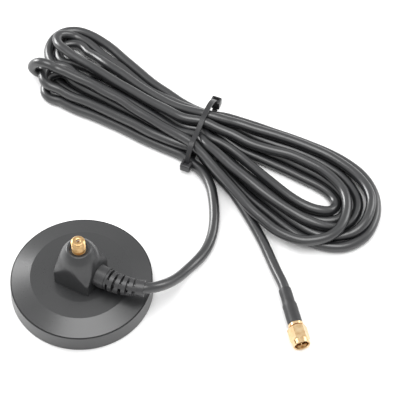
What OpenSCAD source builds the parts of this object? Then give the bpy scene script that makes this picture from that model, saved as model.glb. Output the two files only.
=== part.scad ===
// Magnetic aerial base: a disc with a tower, a threaded coaxial stud on top,
// and a coax lead that ends in a coupling-nut plug. Millimetres, Z up,
// origin on the table under the stud.

/* [Base disc] */
// Diameter of the disc at the table
disc_d = 66.4; // [58:0.2:80]
// Draft of the disc's side, on the radius
disc_draft = 0.4; // [0:0.1:1.2]
// Height of the crease between side and top
rim_h = 8.9; // [8.6:0.1:12]
// Width of the crease line
crease_w = 0.6; // [0.4:0.1:1]
// Depth of the crease line
crease_d = 0.4; // [0.2:0.1:0.6]
// Diameter of the flatter middle of the top
dome_d = 47; // [38:0.5:54]
// Rise of the sloping ring between rim and middle
dome_rise = 2.9; // [2:0.1:5]
// Rise from the middle's edge to the seat of the tower
crown_rise = 0.4; // [0.2:0.1:1.5]
// Diameter of the flat seat of the tower
crown_d = 30; // [28:0.5:36]
// Sheet thickness of the shell
shell_t = 1.2; // [0.8:0.1:1.6]

/* [Magnet and foot] */
// Thickness of the rubber foot pad
pad_t = 1.2; // [0.8:0.1:2]
// How far the pad stands below the shell
pad_proud = 0.4; // [0.2:0.1:0.6]
// Gap between pad and shell
pad_gap = 0.3; // [0.2:0.1:0.6]
// Diameter of the ring magnet
magnet_d = 54; // [44:1:56]
// Bore of the ring magnet
magnet_bore = 26; // [24:1:30]
// Thickness of the ring magnet
magnet_t = 5; // [4:0.2:5.4]
// Thickness of the steel pole plate
plate_t = 1.6; // [1:0.1:2]

/* [Tower] */
// Direction of the boot's face, in degrees
tower_turn = -27; // [-60:1:0]
// Width across the flat sides
tower_w = 18.8; // [18:0.2:20]
// Height of the tower above the disc
tower_h = 21.3; // [20:0.1:26]
// Height of the flat sides at their corners
shoulder_h = 6.9; // [5:0.1:8]
// Height where the bell passes into the flare
bell_h = 13; // [12:0.1:15]
// How far the bell stays inside the flat sides
bell_in = 0.2; // [0:0.1:1]
// Radius of the bell's rounding up to the platform
bell_round = 14; // [12:0.5:30]
// Radius of the flare from the bell out to the corners
flare_r = 9; // [8:0.5:20]
// Rounding of the upright corners
tower_corner = 1.4; // [0.6:0.1:2]
// Wall of the tower
tower_wall = 1.3; // [1:0.1:1.6]
// Thickness of the roof under the stud's recess
roof_t = 2.4; // [1.8:0.1:3]
// Diameter of the spigot below the tower
spigot_d = 16.8; // [15.6:0.2:17.6]
// Distance of the screws from the axis
screw_off = 5; // [4.6:0.1:5.2]
// Diameter of the tower's screws
screw_d = 2.5; // [2:0.1:2.6]
// Length of the screws below the head
screw_l = 7; // [6:0.5:7.5]

/* [Antenna stud] */
// Outer diameter of the stud's thread
stud_d = 6.35; // [6:0.05:6.6]
// Height of the stud above the platform
stud_h = 5.9; // [5:0.1:9]
// Length of the stud below the roof
shank_l = 4.2; // [3.8:0.1:5]
// Height of the undercut below the thread
undercut_h = 0.8; // [0.4:0.1:1.2]
// Depth of the recess round the stud
recess_h = 1; // [0.6:0.1:1.4]
// Gap between thread and recess wall
recess_gap = 0.9; // [0.8:0.1:1.8]
// Lip between recess and platform edge
lip_w = 1.3; // [0.6:0.1:1.6]
// Diameter of the insulator in stud and plug
insulator_d = 4.1; // [3.9:0.1:4.3]
// Diameter of the inner contacts
contact_d = 1.27; // [1.1:0.01:1.5]
// Diameter of the contact tip and its socket
tip_d = 0.92; // [0.8:0.01:0.96]

/* [Boot] */
// Height of the boot's axis above the tower's seat
boot_z = 6.3; // [6:0.1:6.6]
// Diameter of the plain collar
collar_d = 10.3; // [9.6:0.1:10.6]
// Length of the plain collar
collar_l = 6.1; // [4:0.1:8]
// Diameter of the neck in the tower's wall
neck_d = 7.6; // [7:0.1:8.2]
// Diameter of the first slotted ring
boot_d = 9.9; // [9:0.1:10.2]
// Diameter of the end ring
boot_end_d = 7.7; // [7.2:0.1:8.4]
// Rows of slots
slot_rows = 5; // [3:1:7]
// Distance from one row of slots to the next
slot_pitch = 2.9; // [2.4:0.1:4]
// Width of a slot
slot_w = 1.1; // [0.8:0.1:1.4]
// Width of the webs between slots
web_w = 2.2; // [1.8:0.1:3]
// Length of the end ring
end_ring_l = 2; // [1.6:0.1:4]
// Bend of the boot, in degrees
boot_bend = 24; // [0:1:40]

/* [Cord] */
// Diameter of the coax jacket
cord_d = 5; // [4.8:0.1:5.2]
// Diameter of the coax insulation
core_d = 2.95; // [2.8:0.05:3.1]
// Diameter of the coax inner conductor
wire_d = 0.9; // [0.8:0.05:1]
// Height of the hank
hank_h = 13.7; // [10:0.1:20]
// Width of the hank at its ties
waist_w = 33; // [26:0.5:38]
// Width of the strap of a tie
strap_w = 2.6; // [2.4:0.1:3.6]
// Thickness of the strap of a tie
strap_t = 1.1; // [0.8:0.1:1.4]
// Height of a tie's head
tie_head_h = 3.6; // [3:0.1:4.5]

/* [Plug] */
// Width of the coupling nut across its flats
nut_af = 8; // [7.8:0.1:8.6]
// Length of the coupling nut
nut_l = 9.6; // [9:0.1:11]
// Length of the nut's round nose
nose_l = 2.4; // [1.6:0.1:3]
// Bore of the nut over the mating thread
nut_bore = 6.4; // [6.35:0.05:6.6]
// Thickness of the nut's rear wall
nut_back = 1.6; // [1.2:0.1:2]
// Running clearance between nut and plug body
nut_gap = 0.06; // [0.04:0.01:0.1]
// Diameter of the plug body inside the nut's rear wall
body_d = 5.3; // [5.1:0.05:5.5]
// Diameter of the plug's outer contact
outer_contact_d = 4.6; // [4.5:0.05:4.7]
// Distance from the nut's mouth to the plug's reference plane
plane_in = 2.7; // [2.4:0.1:3]
// Length of the shoulder behind the nut
shoulder_l = 1.5; // [1:0.1:3]
// Length of the crimp ferrule
ferrule_l = 10; // [8:0.2:13]
// Outer diameter of the crimp ferrule
ferrule_d = 6; // [5.9:0.05:6.2]
// Wall of the crimp ferrule
ferrule_wall = 0.35; // [0.25:0.05:0.4]
// Wall of the shrunk sleeve
sleeve_wall = 0.4; // [0.3:0.05:0.6]
// Length of the sleeve on the bare cord
sleeve_tail = 9; // [6:0.5:12]

/* [Hidden] */

slip = 0.05;       // clearance round anything that is pushed through a hole
seat = 0.15;       // clearance round a spigot or a strap
round_fn = 96;     // facets of the large rounds
small_fn = 48;     // facets of the small rounds

disc_r = disc_d / 2;
rim_r = disc_r - disc_draft;
dome_r = dome_d / 2;
crown_r = crown_d / 2;
dome_z = rim_h + dome_rise;
crown_z = dome_z + crown_rise;
magnet_z = pad_t;
plate_z = magnet_z + magnet_t;
plate_top = plate_z + plate_t;

half_w = tower_w / 2;
corner_reach = sqrt(2) * (half_w - tower_corner) + tower_corner;
recess_r = stud_d / 2 + recess_gap;
platform_r = recess_r + lip_w;
roof_z = tower_h - recess_h - roof_t;
spigot_r = spigot_d / 2;
spigot_l = crown_z - plate_top;
floor_t = 1.5;
post_r = screw_d / 2 + 1.3;
post_top = boot_z - cord_d / 2 - 1.2;
head_r = screw_d * 0.92;
head_h = screw_d * 0.6;

tag_t = 0.4;
washer_t = 0.5;
stud_nut_t = 2;
stud_nut_af = stud_d + 1.65;
stud_nut_r = stud_nut_af / 2 / cos(30);
pocket_r = stud_nut_r + 0.35;
shank_z = roof_z - shank_l;
contact_z = shank_z - 1.5;
tag_w = 2.2;

cord_r = cord_d / 2;
flange_t = 1.4;
clamp_wall = 0.6;
clamp_l = 3.2;
cord_stop = half_w - tower_wall - flange_t - clamp_l - 2 * slip;  // where the jacket ends
wire_bend = cord_stop - 1.2;

turn_step = boot_bend / slot_rows;
flange_d = 2 * (boot_z - floor_t - seat);
ring_l = slot_pitch - slot_w;
groove_d = 0.35;
boot_bore = cord_d + 2 * slip;
web_set = 0.5;     // how much wider the webs' bore is than the rings'

mouth = [101.5, -30.5];  // middle of the nut's mouth on the table
plug_heading = -76;      // the way the mouth looks
plug_z = nut_af / 2;
nut_r = nut_af / 2 / cos(30);
nut_floor = nut_l - nut_back;
ring_t = 0.7;
ring_z = nut_floor - ring_t - 0.15;
ring_groove = 0.3;
gasket_t = 0.6;
gasket_z = plane_in + 1.6;
flange_z = gasket_z + gasket_t;
shoulder_z = nut_l + 0.25;
stem_z = shoulder_z + shoulder_l;
shoulder_r = ferrule_d / 2 + 0.55;
ferrule_z = stem_z + 0.2;
ferrule_end = ferrule_z + ferrule_l;
sleeve_end = ferrule_end + sleeve_tail;
stem_d = core_d + 2 * slip + 0.8;
stem_step = 0.6;   // web between the insulator and the stem

// The cord's free ends: points on the table, chosen by hand
base_route = [
    [34, -9.5, 17.2], [37, -7.5, 15.6], [41, -3.5, 12.4], [45, 2, 8.6], [49, 8.5, 5.2],
    [53, 14.5, 3.2], [56.5, 20, 2.5], [59, 26, 2.5], [60.5, 33, 2.5], [61, 41, 2.5],
    [60.5, 50, 2.5], [59, 59, 2.5], [55.5, 67.5, 2.5]
];
plug_route = [
    [68, 58.5, 2.5], [75, 46, 2.5], [80, 36, 2.5], [84.5, 26, 2.5], [87.5, 18, 2.6], [90, 11, 3]
];

// The hank: middles and half widths of its left end, its waist and its right end
hank_left = [-11, 133.5];
hank_left_r = 24.5;
hank_waist = [53.5, 88.5];
hank_right = [116, 47];
hank_right_r = 25;
tie_turn = -20;
hank_turn = atan2(hank_right[1] - hank_left[1], hank_right[0] - hank_left[0]);
tie_skew = tie_turn - hank_turn;
tie_wall = 0.9;
tie_head_w = strap_w + 1.8;
lobe_slope = asin((max(hank_left_r, hank_right_r) - waist_w / 2) / min(norm(hank_left - hank_waist), norm(hank_right - hank_waist)));
edge_lean = tie_skew + lobe_slope;  // how far the hank's edge leans against the straps
tie_half = waist_w / 2 / cos(edge_lean) + tie_head_w / 2 * tan(edge_lean) + tie_wall;
tie_round = tie_wall - 2 * slip;  // inner corners stay clear of the hank's square edges
tie_head_z = hank_h * 0.3;
tie_back = 1.6;

// Centre of a circle through two points, to the left of the way from the first to the second
function circle_centre(a, b, r) =
    let (d = b - a, l = norm(d))
    (a + b) / 2 + [-d[1], d[0]] / l * sqrt(r * r - l * l / 4);

bell_foot = [half_w - bell_in, bell_h];
bell_c = circle_centre(bell_foot, [platform_r, tower_h], bell_round);
flare_c = circle_centre(bell_foot, [corner_reach, shoulder_h], flare_r);

// Radius of the bell and of the flare at a height, set in by a wall
function bell_x(z, wall) = bell_c[0] + sqrt(pow(bell_round - wall, 2) - pow(bell_c[1] - z, 2));
function flare_x(z, wall) = flare_c[0] - sqrt(pow(flare_r + wall, 2) - pow(flare_c[1] - z, 2));

// Outline from one height down to another, in equal steps
function bell_part(from, to, wall, steps) =
    [for (i = [0:steps]) let (z = from + (to - from) * i / steps) [bell_x(z, wall), z]];
function flare_part(from, to, wall, steps) =
    [for (i = [1:steps]) let (z = from + (to - from) * i / steps) [flare_x(z, wall), z]];

// Heading and place of the boot's axis at a step of its bend
function boot_heading(i) = tower_turn + turn_step * i;
function boot_place(i) =
    i <= 0
    ? (half_w + collar_l) * [cos(tower_turn), sin(tower_turn)]
    : boot_place(i - 1) + slot_pitch * [cos(boot_heading(i - 0.5)), sin(boot_heading(i - 0.5))];
function boot_ring_d(i) = boot_d + (boot_end_d - boot_d) * i / slot_rows;

boot_axis_z = crown_z + boot_z;
boot_tip = boot_place(slot_rows) +
    end_ring_l * [cos(boot_heading(slot_rows)), sin(boot_heading(slot_rows))];

// Point behind the nut's mouth, on the plug's axis
function plug_point(s) = [
    mouth[0] - s * cos(plug_heading), mouth[1] - s * sin(plug_heading), plug_z
];

function flat_to(p, z) = [p[0], p[1], z];

// Whole routes of the two free ends, through the boot and into the sleeve
base_line = concat(
    [flat_to(cord_stop * [cos(tower_turn), sin(tower_turn)], boot_axis_z)],
    [for (i = [0:2:slot_rows]) flat_to(boot_place(i), boot_axis_z)],
    [flat_to(boot_tip, boot_axis_z)],
    base_route
);
plug_line = concat(plug_route, [plug_point(sleeve_end + cord_r), plug_point(sleeve_end), plug_point(ferrule_end + slip)]);

// Unit vector, and the direction of a route at one of its points
function unit(v) = v / norm(v);
function along(line, i) =
    i == 0 ? unit(line[1] - line[0])
    : i == len(line) - 1 ? unit(line[i] - line[i - 1])
    : unit(unit(line[i + 1] - line[i]) + unit(line[i] - line[i - 1]));

// Ring of points round a route at one of its points
function ring(line, i, r, sides) =
    let (t = along(line, i), s = unit(cross(t, [0, 0, 1])), u = cross(s, t))
    [for (k = [0:sides - 1]) line[i] + r * (s * cos(360 * k / sides) + u * sin(360 * k / sides))];

// Tube swept along a route, with flat ends
module tube(line, r, sides) {
    rings = len(line);
    points = [for (i = [0:rings - 1]) each ring(line, i, r, sides)];
    walls = [
        for (i = [0:rings - 2]) for (k = [0:sides - 1])
            let (a = i * sides + k, b = i * sides + (k + 1) % sides)
            [a, a + sides, b + sides, b]
    ];
    first = [for (k = [0:sides - 1]) k];
    last = [for (k = [sides - 1:-1:0]) (rings - 1) * sides + k];
    polyhedron(points = points, faces = concat(walls, [first, last]));
}

module hole(d, h, fn = small_fn) {
    translate([0, 0, -slip]) cylinder(h = h + 2 * slip, d = d, $fn = fn);
}

module pipe(outer, inner, h) {
    difference() {
        cylinder(h = h, d = outer, $fn = small_fn);
        hole(inner, h);
    }
}

module hex_bar(af, h) {
    rotate([0, 0, 30]) cylinder(h = h, d = af / cos(30), $fn = 6);
}

// Upright prism with rounded corners, made of plain blocks and rounds
module rounded_prism(half, r, h) {
    inner = half - r;
    translate([-half, -inner, 0]) cube([2 * half, 2 * inner, h]);
    translate([-inner, -half, 0]) cube([2 * inner, 2 * half, h]);
    for (x = [-inner, inner], y = [-inner, inner])
        translate([x, y, 0]) cylinder(h = h, r = r, $fn = small_fn);
}

module on_tower() {
    translate([0, 0, crown_z]) rotate([0, 0, tower_turn]) children();
}

// Boot frame: local Z runs outwards along the boot's axis
module on_boot(z = 0) {
    translate([0, 0, boot_z]) rotate([0, 90, 0]) translate([0, 0, z]) children();
}

// Frame at a step of the boot's bend, local Z along its axis
module at_step(i) {
    translate(flat_to(boot_place(i), boot_axis_z))
        rotate([0, 0, boot_heading(i)]) rotate([0, 90, 0]) children();
}

// Plug frame: local Z runs from the mouth back along the cord
module on_plug(z = 0) {
    translate(flat_to(mouth, plug_z)) rotate([0, 0, plug_heading + 180]) rotate([0, 90, 0])
        translate([0, 0, z]) children();
}

module on_waist() {
    translate([hank_waist[0], hank_waist[1], 0]) rotate([0, 0, tie_turn]) children();
}

// Stamped disc, open below
module base_shell() {
    slope = dome_rise / (rim_r - dome_r);
    edge_r = rim_r - crease_w;
    edge_z = rim_h + slope * crease_w;
    outside = [
        [disc_r, pad_proud], [rim_r, rim_h - crease_d / 2], [rim_r - crease_w / 3, rim_h],
        [rim_r - crease_w / 2, rim_h - crease_d], [edge_r, rim_h - crease_d], [edge_r, edge_z],
        [dome_r, dome_z], [crown_r, crown_z], [0, crown_z]
    ];
    inside = [
        [0, crown_z - shell_t], [crown_r, crown_z - shell_t], [dome_r, dome_z - shell_t],
        [rim_r - 2 * shell_t, rim_h + slope * 2 * shell_t - shell_t],
        [rim_r - shell_t, rim_h - shell_t - crease_d], [disc_r - shell_t, pad_proud]
    ];
    color("#3b3c3d") difference() {
        rotate_extrude($fn = round_fn) polygon(concat(outside, inside));
        translate([0, 0, dome_z - 2 * shell_t]) hole(2 * (spigot_r + seat), 4 * shell_t);
    }
}

module foot_pad() {
    color("#1c1c1c") cylinder(h = pad_t, r = disc_r - shell_t - pad_gap, $fn = round_fn);
}

module ring_magnet() {
    color("#3a3634") translate([0, 0, magnet_z]) difference() {
        cylinder(h = magnet_t, d = magnet_d, $fn = round_fn);
        hole(magnet_bore, magnet_t, round_fn);
    }
}

module pole_plate() {
    color("#8e9296") translate([0, 0, plate_z]) difference() {
        cylinder(h = plate_t, d = magnet_d, $fn = round_fn);
        rotate([0, 0, tower_turn]) for (y = [-screw_off, screw_off])
            translate([0, y, 0]) hole(screw_d + 2 * slip, plate_t);
    }
}

// Body of the tower: a revolved bell over a flare, cut by four flat sides
module tower_form(wall, top) {
    skirt = corner_reach + 1;
    intersection() {
        rotate_extrude($fn = round_fn) polygon(concat(
            [[0, top]], bell_part(top, bell_h, wall, 7), flare_part(bell_h, shoulder_h, wall, 5),
            [[skirt, shoulder_h], [skirt, 0], [0, 0]]
        ));
        rounded_prism(half_w - wall, max(tower_corner - wall, 0.2), top);
    }
}

module tower() {
    bore_r = spigot_r - tower_wall;
    color("#3f4144") on_tower() difference() {
        union() {
            difference() {
                union() {
                    tower_form(0, tower_h);
                    translate([0, 0, -spigot_l]) cylinder(h = spigot_l + slip, r = spigot_r, $fn = small_fn);
                }
                intersection() {
                    tower_form(tower_wall, roof_z);
                    translate([-tower_w, -tower_w, floor_t]) cube([2 * tower_w, 2 * tower_w, tower_h]);
                }
                translate([0, 0, -spigot_l]) hole(2 * bore_r, spigot_l + floor_t);
            }
            intersection() {
                for (y = [-screw_off, screw_off])
                    translate([0, y, -spigot_l]) cylinder(h = spigot_l + post_top, r = post_r, $fn = small_fn);
                translate([0, 0, -spigot_l]) cylinder(h = spigot_l + post_top, r = spigot_r, $fn = small_fn);
            }
        }
        translate([0, 0, tower_h - recess_h]) hole(2 * recess_r, recess_h);
        translate([0, 0, roof_z]) hole(stud_d + 2 * slip, roof_t);
        translate([0, 0, shank_z]) cylinder(h = shank_l, r = pocket_r, $fn = small_fn);
        on_boot(bore_r) hole(neck_d + 2 * slip, half_w - bore_r);
        for (y = [-screw_off, screw_off])
            translate([0, y, -spigot_l]) hole(screw_d + slip, screw_l - plate_t + 0.3);
    }
}

module tower_screws() {
    color("#b9bcc0") translate([0, 0, plate_z]) rotate([0, 0, tower_turn])
        for (y = [-screw_off, screw_off]) translate([0, y, 0]) {
            cylinder(h = screw_l, d = screw_d, $fn = small_fn);
            difference() {
                translate([0, 0, -head_h]) cylinder(h = head_h, r = head_r, $fn = small_fn);
                for (a = [0, 90]) rotate([0, 0, a])
                    translate([-head_r * 0.6, -head_h * 0.2, -head_h - slip])
                        cube([head_r * 1.2, head_h * 0.4, head_h * 0.5]);
            }
        }
}

// Stud: thread, undercut and shoulder above the roof, shank below it
module stud_body() {
    shoulder_h0 = recess_h - 0.3;
    thread_z = tower_h - 0.3 + undercut_h;
    chamfer = 0.45;
    top = tower_h + stud_h;
    stud_r = stud_d / 2;
    profile = [
        [0, shank_z], [stud_r, shank_z], [stud_r, tower_h - recess_h],
        [stud_r + 0.5, tower_h - recess_h], [stud_r + 0.5, tower_h - recess_h + shoulder_h0],
        [stud_r - 0.4, tower_h - recess_h + shoulder_h0], [stud_r - 0.4, thread_z - 0.2],
        [stud_r, thread_z + 0.2], [stud_r, top - chamfer], [stud_r - chamfer, top], [0, top]
    ];
    color("#c79a45") on_tower() difference() {
        rotate_extrude($fn = small_fn) polygon(profile);
        translate([0, 0, shank_z]) hole(insulator_d, top - shank_z);
    }
}

module stud_insulator() {
    top = tower_h + stud_h - 1;
    color("#efece2") on_tower() translate([0, 0, shank_z]) pipe(insulator_d - slip, contact_d + slip, top - shank_z);
}

module stud_contact() {
    top = tower_h + stud_h - 1.1;
    color("#d0a650") on_tower() difference() {
        translate([0, 0, contact_z]) cylinder(h = top - contact_z, d = contact_d, $fn = small_fn);
        translate([0, 0, top - 3]) hole(tip_d, 3);
    }
}

// Earth tag: a ring under the roof with a tail down to the braid clamp
module ground_tag() {
    tail_x = stud_nut_af / 2 + 0.12;
    clamp_top = boot_z + cord_r + slip + clamp_wall;
    color("#cfd2d4") on_tower() {
        translate([0, 0, roof_z - tag_t]) difference() {
            cylinder(h = tag_t, r = tail_x + tag_t, $fn = small_fn);
            hole(stud_d + 2 * slip, tag_t);
        }
        translate([tail_x, -tag_w / 2, clamp_top + slip]) cube([tag_t, tag_w, roof_z - clamp_top - slip - tag_t / 2]);
    }
}

module stud_washer() {
    color("#c9cccf") on_tower() translate([0, 0, roof_z - tag_t - washer_t])
        pipe(stud_nut_af - 0.2, stud_d + 2 * slip, washer_t);
}

module stud_nut() {
    color("#c79a45") on_tower() translate([0, 0, roof_z - tag_t - washer_t - stud_nut_t]) difference() {
        hex_bar(stud_nut_af, stud_nut_t);
        hole(stud_d + slip, stud_nut_t);
    }
}

// Inner conductor: leaves the jacket, bends up and meets the stud's contact
module core_lead() {
    bare = cord_stop - wire_bend;
    color("#e9e6da") on_tower() on_boot(wire_bend + slip) cylinder(h = bare - 2 * slip, d = core_d, $fn = small_fn);
    color("#b8733f") on_tower() {
        on_boot(wire_bend) cylinder(h = bare - slip, d = wire_d, $fn = small_fn);
        translate([wire_bend, 0, boot_z + wire_bend]) rotate([90, 0, 0]) rotate([0, 0, 180])
            rotate_extrude(angle = 90, $fn = small_fn)
                translate([wire_bend, 0]) circle(d = wire_d, $fn = small_fn);
        translate([0, 0, boot_z + wire_bend])
            cylinder(h = contact_z - boot_z - wire_bend, d = wire_d, $fn = small_fn);
    }
}

module braid_clamp() {
    color("#b58a45") on_tower() on_boot(cord_stop + slip)
        pipe(cord_d + 2 * (slip + clamp_wall), cord_d + 2 * slip, clamp_l);
}

// Two webs that bridge a slot of the boot, set into the rings on both sides
module boot_webs(i) {
    intersection() {
        translate([0, 0, -slot_w / 2]) pipe(boot_ring_d(i) - 0.2, boot_bore + web_set, 2 * slot_w);
        rotate([0, 0, i % 2 == 0 ? 45 : 135]) translate([-boot_d, -web_w / 2, -slot_w / 2])
            cube([2 * boot_d, web_w, 2 * slot_w]);
    }
}

// One slotted ring of the boot
module boot_ring(i) {
    translate([0, 0, slot_w]) difference() {
        cylinder(h = ring_l, d1 = boot_ring_d(i), d2 = boot_ring_d(i + 1), $fn = small_fn);
        hole(boot_bore, ring_l);
    }
}

// Bend relief: flange, neck, collar, slotted rings that follow a bend, end ring
module strain_relief() {
    inner_face = half_w - tower_wall;
    color("#2b2c2d") {
        on_tower() difference() {
            union() {
                on_boot(inner_face - flange_t) cylinder(h = flange_t, d = flange_d, $fn = small_fn);
                on_boot(inner_face - slip) cylinder(h = tower_wall + 2 * slip, d = neck_d, $fn = small_fn);
                on_boot(half_w) cylinder(h = collar_l - 1.2, d = collar_d, $fn = small_fn);
                on_boot(half_w + collar_l - 1.3) cylinder(h = 0.6, d = collar_d - 2 * groove_d, $fn = small_fn);
                on_boot(half_w + collar_l - 0.8) cylinder(h = 0.8, d = boot_d, $fn = small_fn);
            }
            on_boot(inner_face - flange_t) hole(boot_bore, tower_wall + flange_t + collar_l);
        }
        for (i = [0:slot_rows - 1]) at_step(i) boot_webs(i);
        for (i = [0:slot_rows - 2]) at_step(i) boot_ring(i);
        at_step(slot_rows - 1) translate([0, 0, slot_w]) pipe(boot_end_d, boot_bore, ring_l + end_ring_l);
    }
}

module cord_base_lead() {
    color("#242526") tube(base_line, cord_r, 10);
}

module cord_plug_lead() {
    color("#242526") tube(plug_line, cord_r, 10);
}

module hank_lobe(end, r) {
    hull() {
        translate(end) circle(r = r, $fn = 40);
        translate(hank_waist) circle(d = waist_w, $fn = 40);
    }
}

// The wound cord as one solid: an extruded outline with round ends
module cord_hank() {
    color("#2a2b2c") translate([0, 0, strap_t]) linear_extrude(height = hank_h) {
        hank_lobe(hank_left, hank_left_r);
        hank_lobe(hank_right, hank_right_r);
    }
}

// Upright frame of a rounded slot shape, strap_w wide
module strap_block(half, low, high, r) {
    rotate([90, 0, 90]) translate([0, 0, -strap_w / 2]) {
        translate([-half, low + r, 0]) cube([2 * half, high - low - 2 * r, strap_w]);
        translate([-half + r, low, 0]) cube([2 * (half - r), high - low, strap_w]);
        for (y = [-half + r, half - r], z = [low + r, high - r])
            translate([y, z, 0]) cylinder(h = strap_w, r = r, $fn = small_fn);
    }
}

module strap_loop() {
    difference() {
        strap_block(tie_half + strap_t, 0, hank_h + 2 * strap_t, tie_round + strap_t);
        scale([2, 1, 1]) strap_block(tie_half, strap_t, hank_h + strap_t, tie_round);
    }
}

// Head of a tie round the strap that passes up or down through it
module tie_head(side) {
    low = tie_head_z;
    wide = tie_wall - seat + strap_t + tie_back;
    mid = side * (tie_half - tie_wall + seat + wide / 2);
    translate([-tie_head_w / 2, mid - wide / 2, low]) cube([tie_head_w, wide, tie_head_h]);
}

module head_slot(side) {
    slot_half = strap_t / 2 + slip;
    mid = side * (tie_half + strap_t / 2);
    translate([-strap_w / 2 - slip, mid - slot_half, tie_head_z - slip])
        cube([strap_w + 2 * slip, 2 * slot_half, tie_head_h + 2 * slip]);
}

// Tie over the hank: its head is at the far side, its tail ends in the other head
module cable_tie_over() {
    cut = tie_head_z + tie_head_h / 2;
    color("#202122") on_waist() {
        intersection() {
            strap_loop();
            translate([-strap_w, -2 * tie_half, cut]) cube([2 * strap_w, 4 * tie_half, hank_h]);
        }
        difference() {
            tie_head(1);
            translate([0, 0, -tie_head_h / 2]) head_slot(1);
        }
    }
}

// Tie under the hank: its head is at the near side, its tail ends in the other head
module cable_tie_under() {
    cut = tie_head_z + tie_head_h / 2 - seat;
    color("#202122") on_waist() {
        intersection() {
            strap_loop();
            translate([-strap_w, -2 * tie_half, -slip]) cube([2 * strap_w, 4 * tie_half, cut + slip]);
        }
        difference() {
            tie_head(-1);
            translate([0, 0, tie_head_h / 2]) head_slot(-1);
        }
    }
}

module shrink_sleeve() {
    big_d = ferrule_d + 2 * sleeve_wall;
    small_d = cord_d + 2 * slip + 2 * sleeve_wall;
    step_l = 1.6;
    big_l = ferrule_l + 0.4;
    color("#1e1f20") on_plug(ferrule_z) difference() {
        union() {
            cylinder(h = big_l, d = big_d, $fn = small_fn);
            translate([0, 0, big_l]) cylinder(h = step_l, d1 = big_d, d2 = small_d, $fn = small_fn);
            cylinder(h = sleeve_end - ferrule_z, d = small_d, $fn = small_fn);
        }
        hole(ferrule_d + slip, ferrule_l);
        hole(cord_d + 2 * slip, sleeve_end - ferrule_z);
    }
}

module crimp_ferrule() {
    color("#c79a45") on_plug(ferrule_z) pipe(ferrule_d, ferrule_d - 2 * ferrule_wall, ferrule_l);
}

// Braid folded over the plug's stem, under the ferrule
module braid_end() {
    color("#b9a077") on_plug(ferrule_z + 0.3)
        pipe(ferrule_d - 2 * ferrule_wall - slip, stem_d + slip, ferrule_l - 0.6);
}

// Cord insulation and inner conductor inside the stem
module plug_core() {
    core_l = ferrule_end - stem_z;
    color("#e9e6da") on_plug(stem_z) cylinder(h = core_l, d = core_d, $fn = small_fn);
}

// Plug body: outer contact, flange, journal for the nut, shoulder and stem
module plug_body() {
    contact_r = outer_contact_d / 2;
    journal_r = body_d / 2;
    flange_r = journal_r + 0.25;
    groove_r = journal_r - ring_groove;
    profile = [
        [0, plane_in], [contact_r, plane_in], [contact_r, flange_z], [flange_r, flange_z],
        [flange_r, flange_z + 0.5], [journal_r, flange_z + 0.5], [journal_r, ring_z - slip],
        [groove_r, ring_z - slip], [groove_r, ring_z + ring_t + slip],
        [journal_r, ring_z + ring_t + slip], [journal_r, shoulder_z],
        [shoulder_r, shoulder_z + 0.3], [shoulder_r, stem_z], [stem_d / 2, stem_z],
        [stem_d / 2, ferrule_end - 0.6], [0, ferrule_end - 0.6]
    ];
    color("#c79a45") on_plug() difference() {
        rotate_extrude($fn = small_fn) polygon(profile);
        translate([0, 0, plane_in]) hole(insulator_d, stem_z - plane_in - stem_step);
        translate([0, 0, plane_in]) hole(core_d + 2 * slip, ferrule_end - plane_in);
    }
}

module plug_insulator() {
    color("#efece2") on_plug(plane_in + 0.2)
        pipe(insulator_d - slip, contact_d + slip, stem_z - plane_in - 0.2 - stem_step - slip);
}

module plug_pin() {
    tip_z = plane_in - 1.9;
    color("#d0a650") on_plug(tip_z) {
        cylinder(h = 0.5, d1 = tip_d * 0.5, d2 = tip_d, $fn = small_fn);
        translate([0, 0, 0.5]) cylinder(h = plane_in - tip_z, d = tip_d, $fn = small_fn);
        translate([0, 0, plane_in - tip_z]) cylinder(h = stem_z - plane_in - slip, d = contact_d, $fn = small_fn);
    }
}

module plug_gasket() {
    color("#b5462f") on_plug(gasket_z) pipe(body_d + 0.4, outer_contact_d + slip, gasket_t - slip / 2);
}

module retaining_ring() {
    groove_d2 = body_d - 2 * ring_groove;
    color("#b9bcc0") on_plug(ring_z) difference() {
        pipe(nut_bore - 0.3, groove_d2 + slip, ring_t);
        translate([0, -0.5, -slip]) cube([nut_bore, 1, ring_t + 2 * slip]);
    }
}

// Coupling nut: round nose, chamfered hexagon, bore and rear wall
module coupling_nut() {
    nose_d = nut_af - 0.1;
    cone_h = nut_r - nose_d / 2;
    color("#c79a45") on_plug() difference() {
        union() {
            translate([0, 0, 0.3]) cylinder(h = nose_l, d = nose_d, $fn = small_fn);
            cylinder(h = 0.31, d1 = nose_d - 0.6, d2 = nose_d, $fn = small_fn);
            intersection() {
                translate([0, 0, nose_l]) hex_bar(nut_af, nut_l - nose_l);
                union() {
                    translate([0, 0, nose_l]) cylinder(h = cone_h, r1 = nose_d / 2, r2 = nut_r + 0.02, $fn = round_fn);
                    translate([0, 0, nose_l + cone_h])
                        cylinder(h = nut_l - nose_l - 2 * cone_h, r = nut_r + 0.02, $fn = round_fn);
                    translate([0, 0, nut_l - cone_h])
                        cylinder(h = cone_h, r1 = nut_r + 0.02, r2 = nose_d / 2 - 0.2, $fn = round_fn);
                }
            }
        }
        hole(nut_bore, nut_floor - slip);
        translate([0, 0, -slip]) cylinder(h = 0.4 + slip, d1 = nut_bore + 0.8, d2 = nut_bore, $fn = small_fn);
        hole(body_d + 2 * nut_gap, nut_l);
    }
}

base_shell();
ring_magnet();
pole_plate();
foot_pad();
tower();
tower_screws();
stud_body();
stud_insulator();
stud_contact();
ground_tag();
stud_washer();
stud_nut();
core_lead();
braid_clamp();
strain_relief();
cord_base_lead();
cord_hank();
cord_plug_lead();
cable_tie_over();
cable_tie_under();
shrink_sleeve();
crimp_ferrule();
braid_end();
plug_core();
plug_body();
plug_insulator();
plug_pin();
plug_gasket();
retaining_ring();
coupling_nut();
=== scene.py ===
import math

import bmesh
import bpy
import numpy as np
from mathutils import Matrix, Vector


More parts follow.
